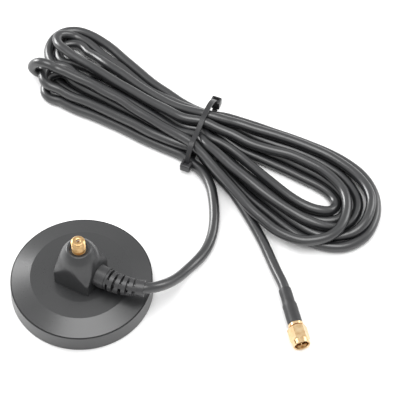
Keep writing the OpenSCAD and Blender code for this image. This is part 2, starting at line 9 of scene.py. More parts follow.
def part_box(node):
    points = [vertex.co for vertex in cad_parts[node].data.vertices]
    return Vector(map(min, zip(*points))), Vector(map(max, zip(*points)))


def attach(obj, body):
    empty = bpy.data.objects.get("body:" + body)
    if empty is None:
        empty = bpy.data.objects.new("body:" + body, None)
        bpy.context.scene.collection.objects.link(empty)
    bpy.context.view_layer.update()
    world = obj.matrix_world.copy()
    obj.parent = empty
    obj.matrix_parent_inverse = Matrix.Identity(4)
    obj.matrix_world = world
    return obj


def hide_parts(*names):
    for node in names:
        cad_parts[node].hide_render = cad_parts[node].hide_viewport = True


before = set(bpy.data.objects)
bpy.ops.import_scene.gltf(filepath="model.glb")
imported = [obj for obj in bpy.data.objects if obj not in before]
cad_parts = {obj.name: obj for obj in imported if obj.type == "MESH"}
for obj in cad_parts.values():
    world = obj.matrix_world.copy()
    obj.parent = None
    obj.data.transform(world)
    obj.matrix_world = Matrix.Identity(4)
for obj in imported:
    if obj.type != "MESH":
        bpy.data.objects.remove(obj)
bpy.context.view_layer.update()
mm = 0.001
print("aerial base: frame loaded,", len(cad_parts), "CAD pieces")

# Camera: a long lens from above, turned a little about its own axis
view = {
    "place": (53.806, -358.773, 575.068),
    "lookAt": (53.806, 52.004, 0.0),
    "fieldDegrees": 15.707,
    "rollDegrees": 1.367,
}


def placeCamera():
    eye = Vector(view["place"]) * mm
    forward = (Vector(view["lookAt"]) * mm - eye).normalized()
    side = forward.cross(Vector((0, 0, 1))).normalized()
    up = side.cross(forward)
    roll = math.radians(view["rollDegrees"])
    right = side * math.cos(roll) + up * math.sin(roll)
    top = up * math.cos(roll) - side * math.sin(roll)
    turn = Matrix((right, top, -forward)).transposed().to_4x4()
    lens = bpy.data.cameras.new("bench_camera")
    lens.sensor_fit = "HORIZONTAL"
    lens.angle = math.radians(view["fieldDegrees"])
    lens.clip_start = 0.02
    lens.clip_end = 20
    camera = bpy.data.objects.new("bench_camera", lens)
    camera.matrix_world = Matrix.Translation(eye) @ turn
    bpy.context.scene.collection.objects.link(camera)
    bpy.context.scene.camera = camera


placeCamera()
print("camera placed")


class Signal:
    # a shader socket that can be used in sums
    def __init__(self, finish, socket):
        self.finish = finish
        self.socket = socket

    def sum(self, operation, a, b=None):
        values = {0: a} if b is None else {0: a, 1: b}
        return self.finish.node("ShaderNodeMath", {"operation": operation}, values)

    def __add__(self, other):
        return self.sum("ADD", self, other)

    def __radd__(self, other):
        return self.sum("ADD", other, self)

    def __sub__(self, other):
        return self.sum("SUBTRACT", self, other)

    def __rsub__(self, other):
        return self.sum("SUBTRACT", other, self)

    def __mul__(self, other):
        return self.sum("MULTIPLY", self, other)

    def __rmul__(self, other):
        return self.sum("MULTIPLY", other, self)

    def __truediv__(self, other):
        return self.sum("DIVIDE", self, other)

    def __pow__(self, other):
        return self.sum("POWER", self, other)

    def sine(self):
        return self.sum("SINE", self)

    def limited(self):
        # kept between 0 and 1
        return self.sum("MINIMUM", self.sum("MAXIMUM", self, 0.0), 1.0)


class Finish:
    # one material: constants go on the shader's sockets, signals come from nodes
    def __init__(self, name, **constants):
        self.material = bpy.data.materials.new(name)
        self.material.use_nodes = True
        self.tree = self.material.node_tree
        self.shader = self.tree.nodes["Principled BSDF"]
        for key, value in constants.items():
            self.shader.inputs[key.replace("_", " ")].default_value = value
        self.place = self.node("ShaderNodeTexCoord", {}, {}, "Object")

    def node(self, kind, settings, inputs, output=0):
        made = self.tree.nodes.new(kind)
        for key, value in settings.items():
            if key == "stops":
                ramp = made.color_ramp
                while len(ramp.elements) < len(value):
                    ramp.elements.new(0.5)
                for element, (position, colour) in zip(ramp.elements, value):
                    element.position = position
                    element.color = (*colour, 1)
            else:
                setattr(made, key, value)
        for key, value in inputs.items():
            if isinstance(value, Signal):
                self.tree.links.new(value.socket, made.inputs[key])
            else:
                made.inputs[key].default_value = value
        return Signal(self, made.outputs[output])

    def noise(self, scale, detail=3.0, rough=0.55, at=None):
        values = {"Vector": at or self.place, "Scale": scale, "Detail": detail, "Roughness": rough}
        return self.node("ShaderNodeTexNoise", {}, values, 0)

    def blend(self, mask, first, second):
        # colours mixed by a mask
        values = {0: mask, 6: (*first, 1) if isinstance(first, tuple) else first}
        values[7] = (*second, 1) if isinstance(second, tuple) else second
        return self.node("ShaderNodeMix", {"data_type": "RGBA"}, values, 2)

    def ramp(self, value, *stops):
        return self.node("ShaderNodeValToRGB", {"stops": stops}, {0: value})

    def split(self):
        # x, y and z of the place, in metres
        cut = self.tree.nodes.new("ShaderNodeSeparateXYZ")
        self.tree.links.new(self.place.socket, cut.inputs[0])
        return [Signal(self, s) for s in cut.outputs]

    def send(self, **signals):
        for key, value in signals.items():
            self.tree.links.new(value.socket, self.shader.inputs[key.replace("_", " ")])

    def bump(self, height, distance, strength=1.0):
        values = {"Height": height, "Distance": distance, "Strength": strength}
        self.send(Normal=self.node("ShaderNodeBump", {}, values))


def smooth(value, low, high):
    # 0 below low, 1 above high, straight between
    return ((value - low) / (high - low)).limited()


# The cord: one coax lead from the boot to the plug, in millimetres
cordSizes = {
    "thick": 5.0,
    "step": 2.5,
    "floor": 2.5,
    "openings": 90,
    "rounds": 160,
    "held": 20,
    "bows": [(4, 14.4), (3, 12.0), (2, 8.8)],
    "exit": (8.38, -4.27, 18.5),
    "boot": [
        (3.03, -1.54, 18.5), (13.81, -7.04, 18.5), (19.18, -9.23, 18.5), (24.83, -10.49, 18.5),
        (29.72, -10.87, 18.5),
    ],
    "toHank": [
        (34, -9.5, 17.2), (37, -7.5, 15.6), (41, -3.5, 12.4), (45, 2, 8.6), (49, 8.5, 5.2), (53, 14.5, 3.2),
        (56.5, 20, 2.5), (59, 26, 2.5), (60.5, 33, 2.5), (61, 41, 2.5), (60.5, 50, 2.5), (59, 59, 2.5),
        (55.5, 67.5, 2.5),
    ],
    "loops": {
        "F": [
            (49, 75, 3.5), (45.5, 79.5, 3), (39, 84.5, 2.5), (32, 89, 2.5), (24, 93, 2.5),
            (15.5, 96.5, 2.5), (7.5, 99.5, 2.5), (-1, 103, 2.5), (-9, 106, 2.5), (-16.5, 110.5, 2.5),
            (-22.5, 115.5, 2.5), (-25.5, 121, 2.5), (-25, 124.5, 3.5), (-21.5, 125.5, 5),
            (-17, 122.5, 6.5), (-11, 120, 5), (-3.5, 115.5, 3.5), (4, 111.5, 2.5), (12, 106, 2.5),
            (20.5, 101, 2.5), (28.5, 96, 2.5), (37, 92.5, 2.5), (44, 90, 3),
        ],
        "Z": [
            (53.5, 88.5, 3.5), (57.5, 80.5, 3), (64.5, 70, 2.5), (71.5, 60, 2.5), (79, 51.5, 2.5),
            (87, 43.5, 2.5), (94.5, 36, 2.5), (102, 30, 2.5), (109.5, 26.5, 2.5), (116.5, 25, 2.5),
            (123.5, 26, 2.5), (130, 30.5, 2.5), (134.5, 37, 2.5), (137.5, 45, 2.5), (138, 53.5, 2.5),
            (136, 61.5, 2.5), (131.5, 69, 2.5), (124.5, 75.5, 2.5), (117, 80.5, 2.5), (108, 85, 2.5),
            (99, 89, 2.5), (90, 92.5, 2.5), (81, 96, 2.5), (72, 99, 2.5), (64, 101.5, 2.5),
        ],
        "C": [
            (58, 102, 3.5), (42.5, 109, 3), (34.5, 115.5, 2.5), (26.5, 123, 2.5), (19.5, 131, 2.5),
            (12.5, 138.5, 2.5), (6, 145.5, 2.5), (0, 150.5, 2.5), (-6.5, 154.5, 2.5),
            (-13.5, 156.5, 2.5), (-20, 155.5, 2.5), (-24, 152, 2.5), (-26, 147, 2.5), (-26, 142, 2.5),
            (-24, 137, 2.5), (-20.5, 132, 2.5), (-16.5, 126, 2.5), (-12, 121.5, 2.5), (-5.5, 118, 2.5),
            (1.5, 113.5, 2.5), (9, 109.5, 2.5), (16, 105, 2.5), (23.5, 101, 2.5), (31.5, 96, 2.5),
            (39, 90.5, 3),
        ],
        "R7": [
            (55, 93, 3.5), (62, 83, 3), (69, 73, 2.5), (76, 65.5, 2.5), (84, 58.5, 2.5),
            (91.5, 52, 2.5), (99.5, 46, 2.5), (107, 42, 2.5), (114.5, 40.5, 2.5), (121.5, 42, 2.5),
            (124.5, 47.5, 2.5), (123, 54, 2.5), (117.5, 61, 2.5), (110.5, 67, 2.5), (103, 71.5, 2.5),
            (95, 76, 2.5), (86, 79.5, 2.5), (77, 83.5, 2.5), (68, 90, 2.5), (61, 95, 3),
        ],
        "G": [
            (56.5, 97.5, 3.5), (44.5, 102, 3.5), (36.5, 106.5, 2.5), (27, 111.5, 2.5),
            (17.5, 117.5, 2.5), (8.5, 124, 2.5), (2, 128, 2.5), (-3, 128, 2.5), (-4, 124, 2.5),
            (0, 120, 2.5), (7.5, 116, 2.5), (16, 110.5, 2.5), (24.5, 105, 2.5), (32.5, 99, 4.5),
            (42, 93, 7),
        ],
        "R6": [
            (55.5, 93.5, 8), (59.5, 90, 6), (66, 87.5, 3.5), (73.5, 82, 2.5), (81, 78, 2.5),
            (89, 73.5, 2.5), (97, 69, 2.5), (104.5, 64.5, 2.5), (112, 60, 2.5), (117.5, 55, 2.5),
            (120, 49, 3.5), (117, 43.5, 5.5), (110.5, 43, 7), (104, 45, 7.5), (97, 49.5, 7.5),
            (90.5, 55.5, 7.5), (83.5, 63, 7.5), (77, 70, 7.5), (70, 76.5, 7.5), (63, 81.5, 7.5),
            (57.5, 84.5, 8),
        ],
        "B": [
            (53.5, 89, 8), (45, 91, 7.5), (38, 96, 6.5), (30, 101.5, 5), (21, 108, 3.5),
            (12.5, 115, 2.5), (5, 121, 2.5), (-2.5, 127, 2.5), (-10, 132.5, 2.5), (-15.5, 136.5, 2.5),
            (-19.5, 140.5, 2.5), (-21, 145, 2.5), (-17.5, 148.5, 2.5), (-11.5, 146.5, 2.5), (-3.5, 140, 3.5),
            (4.5, 131.5, 4.5), (13.5, 124, 5.5), (22, 116.5, 6.5), (30.5, 110, 7.5), (39.5, 104, 9),
            (47.5, 99.5, 11),
        ],
        "R1": [
            (56, 96, 12.5), (64, 94.5, 11), (72, 93.5, 8.5), (81, 90.5, 7.5), (90, 87.5, 7.5),
            (98.5, 84, 7.5), (107.5, 80, 7.5), (116.5, 76, 7.5), (124, 71, 7.5), (130, 65.5, 7.5),
            (135, 58.5, 7.5), (137.5, 50.5, 7.5), (136.5, 42, 7), (133.5, 35.5, 6), (128.5, 32, 4.5),
            (122.5, 31.5, 2.5), (115.5, 31.5, 2.5), (108, 34, 2.5), (100, 39, 3), (93, 44.5, 4),
            (85.5, 50.5, 5), (78, 56.5, 6), (70.5, 64.5, 5), (63, 72, 4), (56.5, 76.5, 3.5),
        ],
        "E": [
            (50.5, 79.5, 3.5), (44, 82, 4.5), (36, 85, 6), (28, 88.5, 7), (20, 93.5, 7), (11.5, 98, 7),
            (3.5, 102.5, 7), (-5, 107, 7), (-12.5, 110, 7), (-18.5, 113.5, 7.5), (-23.5, 117, 8),
            (-26, 121, 8), (-26.5, 125, 8), (-24, 128.5, 7.5), (-19, 127.5, 7), (-13.5, 124, 7),
            (-6, 120, 7), (1.5, 115.5, 7), (9.5, 111, 7), (17.5, 106, 7), (25.5, 100.5, 7),
            (34, 94.5, 7.5), (41, 89, 8),
        ],
        "R5": [
            (52, 84, 8), (56, 78, 8), (61.5, 73, 7.5), (68.5, 66, 7), (75.5, 59.5, 7), (83, 52.5, 6.5),
            (90, 46.5, 6.5), (97, 41, 6.5), (104.5, 36, 6), (112.5, 33.5, 5), (119.5, 34, 3.5),
            (125.5, 37.5, 2.5), (129.5, 44, 2.5), (130.5, 51.5, 2.5), (128, 59, 2.5), (123.5, 66, 2.5),
            (116.5, 72.5, 2.5), (109, 78, 2.5), (100, 82.5, 2.5), (91, 85.5, 2.5), (82, 89, 2.5),
            (73, 93.5, 3.5), (64, 96.5, 6),
        ],
        "A": [
            (57, 98.5, 8), (43.5, 104.5, 7), (36.5, 109.5, 5), (28, 116, 3.5), (19.5, 124, 2.5),
            (11, 131.5, 2.5), (2, 138.5, 2.5), (-5.5, 145, 2.5), (-11.5, 149.5, 3), (-16.5, 152, 5),
            (-20, 152, 8), (-23, 149.5, 10.5), (-22.5, 144.5, 11.5), (-19.5, 141, 11.5),
            (-15.5, 137, 11), (-10, 132.5, 10), (-3, 127.5, 9), (4.5, 122, 8), (11.5, 116.5, 8),
            (19.5, 110.5, 8), (27.5, 104.5, 8), (35.5, 99, 9), (44, 93.5, 11),
        ],
        "R4": [
            (54.5, 91.5, 12.5), (61.5, 89, 11), (69, 86.5, 10), (78, 82, 9), (87.5, 78.5, 9),
            (97.5, 75.5, 9), (106, 71, 9), (113, 66.5, 9), (118.5, 61, 9), (123, 54.5, 9),
            (124.5, 47.5, 9.5), (123.5, 39.5, 10), (120.5, 32.5, 10.5), (115.5, 27.5, 11),
            (109.5, 25.5, 11), (103, 25, 11), (96.5, 27, 11), (90.5, 30.5, 11), (84.5, 36, 11),
            (78.5, 42, 11.5), (73, 49.5, 11.5), (67, 57.5, 11), (61, 66, 10), (55, 74.5, 9),
        ],
        "D": [
            (50.5, 79.5, 8), (43, 84.5, 8.5), (35.5, 89.5, 9), (28, 94.5, 10), (20, 99.5, 11),
            (12.5, 105, 11.5), (4.5, 109.5, 11.5), (-3, 114.5, 11.5), (-11, 118.5, 12),
            (-18, 122, 12.5), (-24, 124, 13), (-29.5, 125.5, 13), (-32.5, 126.5, 11.5), (-33, 126.5, 8),
            (-31.5, 127, 4.5), (-27.5, 126, 2.5), (-21, 122.5, 2.5), (-13, 117.5, 2.5),
            (-4.5, 112, 2.5), (4.5, 107, 2.5), (13.5, 102, 2.5), (22.5, 96.5, 2.5), (32, 91, 2.5),
            (41, 86.5, 3),
        ],
    },
    "waistEnd": (52, 84, 3.6),
    "toPlug": [
        (57, 76, 2.6), (62.5, 67, 2.5), (68, 58.5, 2.5), (75, 46, 2.5), (80, 36, 2.5), (84.5, 26, 2.5),
        (87.5, 18, 2.6), (90, 11, 3), (93.6, 1.3, 4), (94.1, -0.9, 4), (96.2, -9.4, 4),
    ],
}


def throughPoints(points, step):
    # a smooth line through the points, walked at even steps
    p = np.array(points, float)
    gap = np.sqrt(np.linalg.norm(np.diff(p, axis=0), axis=1))
    t = np.concatenate([[0.0], np.cumsum(gap)])
    p = np.vstack([2 * p[0] - p[1], p, 2 * p[-1] - p[-2]])
    t = np.concatenate([[-gap[0]], t, [t[-1] + gap[-1]]])
    line = []
    for i in range(1, len(p) - 2):
        ta, tb, tc, td = t[i - 1:i + 3]
        for s in np.linspace(tb, tc, 12, endpoint=False):
            a = p[i - 1] + (p[i] - p[i - 1]) * (s - ta) / (tb - ta)
            b = p[i] + (p[i + 1] - p[i]) * (s - tb) / (tc - tb)
            c = p[i + 1] + (p[i + 2] - p[i + 1]) * (s - tc) / (td - tc)
            d = a + (b - a) * (s - ta) / (tc - ta)
            e = b + (c - b) * (s - tb) / (td - tb)
            line.append(d + (e - d) * (s - tb) / (tc - tb))
    line.append(p[-2])
    line = np.array(line)
    run = np.concatenate([[0.0], np.cumsum(np.linalg.norm(np.diff(line, axis=0), axis=1))])
    marks = np.linspace(0, run[-1], int(run[-1] / step) + 1)
    return np.stack([np.interp(marks, run, line[:, k]) for k in range(3)], axis=1)


def widenBends(points, held):
    # a coax springs open where it is folded too tightly
    points = points.copy()
    for _ in range(cordSizes["openings"]):
        for arm, chord in cordSizes["bows"]:
            bow = points[2 * arm:] - points[:-2 * arm]
            wide = np.linalg.norm(bow, axis=1)[:, None]
            stiff = 0.25 * np.maximum(chord - wide, 0) * bow / wide
            stiff[:held] = 0
            stiff[-held:] = 0
            points[2 * arm:] += stiff
            points[:-2 * arm] -= stiff
        points[:, 2] = np.maximum(points[:, 2], cordSizes["floor"])
    return points


def layCord(points, held):
    # strands push each other apart, sink under their weight and stay on the bench
    apart = cordSizes["thick"] + 0.05
    floor = cordSizes["floor"]
    start = points.copy()
    count = len(points)
    order = np.arange(count)
    near = np.abs(order[:, None] - order[None, :]) <= 4
    moved = np.zeros_like(points)
    ease = np.clip((np.minimum(order, count - 1 - order) - held) / 12.0, 0, 1)[:, None]
    for _ in range(cordSizes["rounds"]):
        squares = (points ** 2).sum(1)
        spread = squares[:, None] + squares[None, :] - 2 * points @ points.T
        first, second = np.nonzero((spread < apart * apart) & ~near & (order[:, None] < order[None, :]))
        across = points[first] - points[second]
        distance = np.maximum(np.linalg.norm(across, axis=1), 0.001)[:, None]
        push = 0.3 * (apart - distance) * across / distance
        shift = np.zeros_like(points)
        touching = np.zeros(count)
        np.add.at(shift, first, push)
        np.add.at(shift, second, -push)
        np.add.at(touching, first, 1)
        np.add.at(touching, second, 1)
        moved += shift / np.sqrt(np.maximum(touching, 1))[:, None]
        for arm, chord in cordSizes["bows"]:
            bow = points[2 * arm:] - points[:-2 * arm]
            wide = np.linalg.norm(bow, axis=1)[:, None]
            stiff = 0.22 * np.maximum(chord - wide, 0) * bow / wide
            moved[2 * arm:] += stiff
            moved[:-2 * arm] -= stiff
        moved[:, 2] -= 0.03
        moved[:, :2] *= 0.985
        for _ in range(2):
            inner = moved[:-2] * 0.25 + moved[1:-1] * 0.5 + moved[2:] * 0.25
            moved[1:-1] = inner
        points = start + moved
        level = points[:, 2].copy()
        level[1:-1] = level[:-2] * 0.25 + level[1:-1] * 0.5 + level[2:] * 0.25
        points[:, 2] = np.maximum(level, floor)
        moved = (points - start) * ease
        points = start + moved
    return points


def curveThrough(name, points, thick):
    data = bpy.data.curves.new(name, "CURVE")
    data.dimensions = "3D"
    data.bevel_depth = thick / 2 * mm
    data.bevel_resolution = 5
    data.use_fill_caps = True
    spline = data.splines.new("POLY")
    spline.points.add(len(points) - 1)
    flat = np.column_stack([points * mm, np.ones(len(points))])
    spline.points.foreach_set("co", flat.ravel())
    spline.use_smooth = True
    made = bpy.data.objects.new(name, data)
    bpy.context.scene.collection.objects.link(made)
    return made


def makeCord():
    route = list(cordSizes["boot"]) + list(cordSizes["toHank"])
    for loop in cordSizes["loops"].values():
        route += loop
    route.append(cordSizes["waistEnd"])
    route += cordSizes["toPlug"]
    held = cordSizes["held"]
    opened = widenBends(throughPoints(route, cordSizes["step"]), held)
    laid = layCord(throughPoints(opened, cordSizes["step"]), held)
    fine = throughPoints(laid, 1.6)
    length = float(np.linalg.norm(np.diff(fine, axis=0), axis=1).sum())
    made = curveThrough("coax_cord", fine, cordSizes["thick"])
    print("cord laid:", round(length), "mm long,", len(fine), "points")
    return made, length


cord, cordLength = makeCord()


# Finishes: satin paint, moulded plastic, rubber, plated metal and the rest
def makePaint():
    look = {"dark": (0.014, 0.0145, 0.0155), "light": (0.027, 0.0275, 0.0285), "rough": 0.27}
    made = Finish("satin_paint", Specular_IOR_Level=0.8, Coat_IOR=1.5)
    x, y = made.split()[:2]
    cloud = made.noise(38.0)
    grain = made.noise(2600.0, 2.0)
    reach = (x * x + y * y) ** 0.5
    # painted highlight: a lighter ring painted on the base colour near the disc's edge, where the rim catches
    # the light
    paintedRimHighlight = smooth(reach, 0.0318, 0.0326) * (1 - smooth(reach, 0.0327, 0.0333))
    # colour mix: random tone from the two noises plus the painted rim highlight
    toneAndRimHighlight = cloud * 0.5 + grain * 0.3 + paintedRimHighlight * 0.25
    made.send(
        Base_Color=made.blend(toneAndRimHighlight.limited(), look["dark"], look["light"]),
        Roughness=look["rough"] + grain * 0.10 - 0.05 + cloud * 0.06,
    )
    made.bump(grain * 0.6 + made.noise(700.0, 2.0) * 0.4, 0.00003, 0.55)
    return made.material


def makeTowerPlastic():
    look = {"dark": (0.015, 0.0155, 0.0165), "light": (0.026, 0.0265, 0.028), "rough": 0.30}
    made = Finish("tower_plastic", Specular_IOR_Level=0.7)
    cloud = made.noise(90.0, 3.0)
    grain = made.noise(1900.0, 3.0)
    made.send(
        Base_Color=made.blend((cloud * 0.6 + grain * 0.3).limited(), look["dark"], look["light"]),
        Roughness=look["rough"] + grain * 0.12 - 0.04,
    )
    made.bump(grain, 0.00004, 0.5)
    return made.material


def makeBootRubber():
    look = {"dark": (0.014, 0.014, 0.015), "light": (0.028, 0.028, 0.030)}
    made = Finish("boot_rubber", Specular_IOR_Level=0.75)
    cloud = made.noise(150.0, 3.0)
    grain = made.noise(2300.0, 3.0)
    made.send(
        Base_Color=made.blend((cloud * 0.7 + grain * 0.2).limited(), look["dark"], look["light"]),
        Roughness=0.33 + grain * 0.14,
    )
    made.bump(grain, 0.00005, 0.5)
    return made.material


def makeFootRubber():
    made = Finish("foot_rubber", Specular_IOR_Level=0.4)
    x, y = made.split()[:2]
    cloud = made.noise(120.0, 4.0)
    grain = made.noise(1500.0, 3.0)
    wave = ((x * x + y * y) ** 0.5 * 1800.0).sine()
    made.send(
        Base_Color=made.blend((cloud * 0.8).limited(), (0.012, 0.012, 0.012), (0.030, 0.029, 0.028)),
        Roughness=0.62 + grain * 0.2,
    )
    made.bump(grain * 0.6 + wave * 0.2, 0.00008, 0.5)
    return made.material


def makeJacket():
    look = {"dark": (0.008, 0.0085, 0.0095), "light": (0.018, 0.0185, 0.020), "rough": 0.23}
    made = Finish("cable_jacket", Specular_IOR_Level=0.95)
    cloud = made.noise(60.0, 4.0)
    grain = made.noise(1700.0)
    ripple = made.noise(260.0, 2.0)
    made.send(
        Base_Color=made.blend((cloud * 0.7 + grain * 0.2).limited(), look["dark"], look["light"]),
        Roughness=look["rough"] + cloud * 0.08 + grain * 0.06,
    )
    made.bump(grain * 0.5 + ripple * 0.5, 0.00006, 0.5)
    return made.material


def makeNylon():
    made = Finish("tie_nylon", Specular_IOR_Level=0.5)
    cloud = made.noise(300.0, 3.0)
    grain = made.noise(2500.0, 2.0)
    made.send(
        Base_Color=made.blend(cloud, (0.012, 0.012, 0.013), (0.03, 0.03, 0.032)),
        Roughness=0.26 + grain * 0.12,
    )
    made.bump(grain * 0.4 + cloud * 0.6, 0.00006, 0.5)
    return made.material


def makeSleeve():
    made = Finish("shrunk_sleeve", Specular_IOR_Level=0.45)
    cloud = made.noise(220.0, 3.0)
    grain = made.noise(1800.0, 3.0)
    made.send(
        Base_Color=made.blend(cloud, (0.013, 0.013, 0.014), (0.028, 0.028, 0.030)),
        Roughness=0.40 + grain * 0.12,
    )
    made.bump(grain * 0.4 + cloud * 0.6, 0.00009, 0.6)
    return made.material


def makeGold(name, deep, pale, rough):
    look = {"deep": deep, "pale": pale, "rough": rough}
    made = Finish(name, Metallic=1.0)
    cloud = made.noise(420.0, 4.0)
    grain = made.noise(5200.0, 2.0)
    patches = made.ramp(cloud, (0.30, (0, 0, 0)), (0.72, (1, 1, 1)))
    made.send(
        Base_Color=made.blend(patches, look["deep"], look["pale"]),
        Roughness=look["rough"] + grain * 0.10 + cloud * 0.06 - 0.04,
    )
    made.bump(grain * 0.5 + cloud * 0.5, 0.000015, 0.5)
    return made.material


def makeZinc():
    made = Finish("zinc_steel", Metallic=1.0)
    cloud = made.noise(240.0, 4.0)
    grain = made.noise(4200.0, 2.0)
    made.send(
        Base_Color=made.blend(cloud, (0.42, 0.43, 0.44), (0.62, 0.63, 0.65)),
        Roughness=0.30 + grain * 0.12,
    )
    made.bump(grain, 0.00001, 0.4)
    return made.material


def makeFerrite():
    made = Finish("ferrite", Specular_IOR_Level=0.5)
    grain = made.noise(1400.0, 5.0)
    made.send(
        Base_Color=made.blend(grain, (0.018, 0.016, 0.015), (0.06, 0.055, 0.052)),
        Roughness=0.55 + grain * 0.2,
    )
    made.bump(grain, 0.00006, 0.6)
    return made.material


def makeInsulator():
    made = Finish("white_insulator", Specular_IOR_Level=0.45)
    cloud = made.noise(600.0, 3.0)
    made.send(
        Base_Color=made.blend(cloud, (0.66, 0.64, 0.58), (0.84, 0.83, 0.78)),
        Roughness=0.38 + cloud * 0.12,
    )
    made.bump(cloud, 0.00002, 0.4)
    return made.material


def makeCopper():
    made = Finish("copper_wire", Metallic=1.0)
    cloud = made.noise(800.0, 3.0)
    made.send(
        Base_Color=made.blend(cloud, (0.55, 0.25, 0.14), (0.80, 0.44, 0.28)),
        Roughness=0.28 + cloud * 0.15,
    )
    made.bump(cloud, 0.00001, 0.4)
    return made.material


def makeBraid():
    # two crossing sets of fine wires round the plug's axis
    made = Finish("braid_wire", Metallic=1.0)
    x, y, z = made.split()
    one = x * 7000.0 + y * 9000.0 + z * 6000.0
    two = x * -7000.0 + y * 9000.0 - z * 6000.0
    weave = (one.sine() + two.sine()) * 0.25 + 0.5
    made.send(
        Base_Color=made.blend(weave.limited(), (0.28, 0.22, 0.15), (0.66, 0.60, 0.50)),
        Roughness=0.34 + weave * 0.1,
    )
    made.bump(weave, 0.00008, 0.8)
    return made.material


def makeGasket():
    made = Finish("gasket_rubber", Specular_IOR_Level=0.4)
    cloud = made.noise(900.0, 3.0)
    made.send(
        Base_Color=made.blend(cloud, (0.30, 0.06, 0.03), (0.45, 0.10, 0.05)),
        Roughness=0.5 + cloud * 0.2,
    )
    made.bump(cloud, 0.00003, 0.5)
    return made.material


paint = makePaint()
towerPlastic = makeTowerPlastic()
bootRubber = makeBootRubber()
footRubber = makeFootRubber()
jacket = makeJacket()
nylon = makeNylon()
sleeveFinish = makeSleeve()
gold = makeGold("gold_plate", (0.70, 0.46, 0.23), (0.86, 0.66, 0.40), 0.20)
studGold = makeGold("stud_gold", (0.46, 0.275, 0.11), (0.72, 0.50, 0.26), 0.27)
zinc = makeZinc()
ferrite = makeFerrite()
insulator = makeInsulator()
copper = makeCopper()
braid = makeBraid()
gasketRubber = makeGasket()
print("finishes made")


def finishMesh(name, shape, finish, body="antenna_base"):
    # a bmesh becomes a piece of the scene, in millimetres until here
    bmesh.ops.scale(shape, vec=(mm, mm, mm), verts=shape.verts)
    bmesh.ops.recalc_face_normals(shape, faces=shape.faces)
    data = bpy.data.meshes.new(name)
    shape.to_mesh(data)
    shape.free()
    for face in data.polygons:
        face.use_smooth = True
    made = bpy.data.objects.new(name, data)
    bpy.context.scene.collection.objects.link(made)
    data.materials.append(finish)
    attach(made, body)
    return made


def sharpen(made, degrees=35):
    # edges steeper than this stay crisp
    shape = bmesh.new()
    shape.from_mesh(made.data)
    for edge in shape.edges:
        if len(edge.link_faces) == 2 and edge.calc_face_angle(0) > math.radians(degrees):
            edge.smooth = False
    shape.to_mesh(made.data)
    shape.free()
    return made


def joinRings(shape, rings):
    for one, two in zip(rings, rings[1:]):
        for k in range(len(one)):
            m = (k + 1) % len(one)
            shape.faces.new((one[k], one[m], two[m], two[k]))


def latheGrid(shape, rows, around, place):
    # rows of rings, each ring given by a function of row and angle, closed from last to first
    rings = []
    for row in range(rows):
        ring = [shape.verts.new(place(row, 2 * math.pi * k / around)) for k in range(around)]
        rings.append(ring)
    joinRings(shape, rings + rings[:1])


# The tower: a bell cut by four flats, in one skin from its foot to the recess round the stud
tower = {
    "seat": 12.2,
    "turnDegrees": -27.0,
    "half": 9.4,
    "squareness": 17,
    "blend": 30,
    "wall": 1.3,
    "bell": [
        (0, 13.4), (6.0, 13.3), (7.0, 12.75), (8.0, 12.15), (9.0, 11.6), (10.0, 11.05), (11.0, 10.55),
        (12.0, 10.1), (13.0, 9.7), (14.0, 9.35), (15.0, 9.0), (16.0, 8.65), (17.0, 8.25), (18.0, 7.8),
        (19.0, 7.2), (20.0, 6.55), (21.3, 5.45),
    ],
    "recess": 4.08,
    "recessDepth": 1.0,
    "roof": 1.5,
    "neck": 3.2,
}


def towerReach(angle, height, inward):
    # the nearer of the bell and the flats, with a soft edge between them
    heights = [z for z, r in tower["bell"]]
    bell = float(np.interp(height, heights, [r for z, r in tower["bell"]])) - inward
    half = tower["half"] - inward - 0.012 * height
    turn = angle - math.radians(tower["turnDegrees"])
    n = tower["squareness"]
    flat = half / (abs(math.cos(turn)) ** n + abs(math.sin(turn)) ** n) ** (1 / n)
    m = tower["blend"]
    return (bell ** -m + flat ** -m) ** (-1 / m)


def makeTower():
    top = tower["bell"][-1][0]
    floor = top - tower["recessDepth"]
    under = floor - tower["roof"]
    heights = [0.0, 0.25, 1.5, 3.0, 4.5, 5.5, 6.2]
    heights += [6.6 + 0.35 * i for i in range(41)] + [top - 0.12]
    levels = [(z, 0.0, None) for z in heights]
    levels += [(top, 0.14, None), (top, 0, tower["recess"] + 0.12), (top - 0.1, 0, tower["recess"])]
    levels += [(floor, 0, tower["recess"]), (floor, 0, tower["neck"]), (under, 0, tower["neck"])]
    levels += [(under * (1 - i / 8), tower["wall"], None) for i in range(9)]

    def place(row, angle):
        height, inward, fixed = levels[row]
        reach = fixed or towerReach(angle, height, inward)
        return (reach * math.cos(angle), reach * math.sin(angle), tower["seat"] + height)

    shape = bmesh.new()
    latheGrid(shape, len(levels), 200, place)
    made = sharpen(finishMesh("tower_skin", shape, towerPlastic), 50)
    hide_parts("tower")


makeTower()
print("tower shaped")

# The stud: a rolled thread on a body that goes down through the tower's roof
stud = {
    "radius": 3.175,
    "pitch": 0.7056,
    "depth": 0.34,
    "bore": 2.05,
    "mouth": 0.85,
}


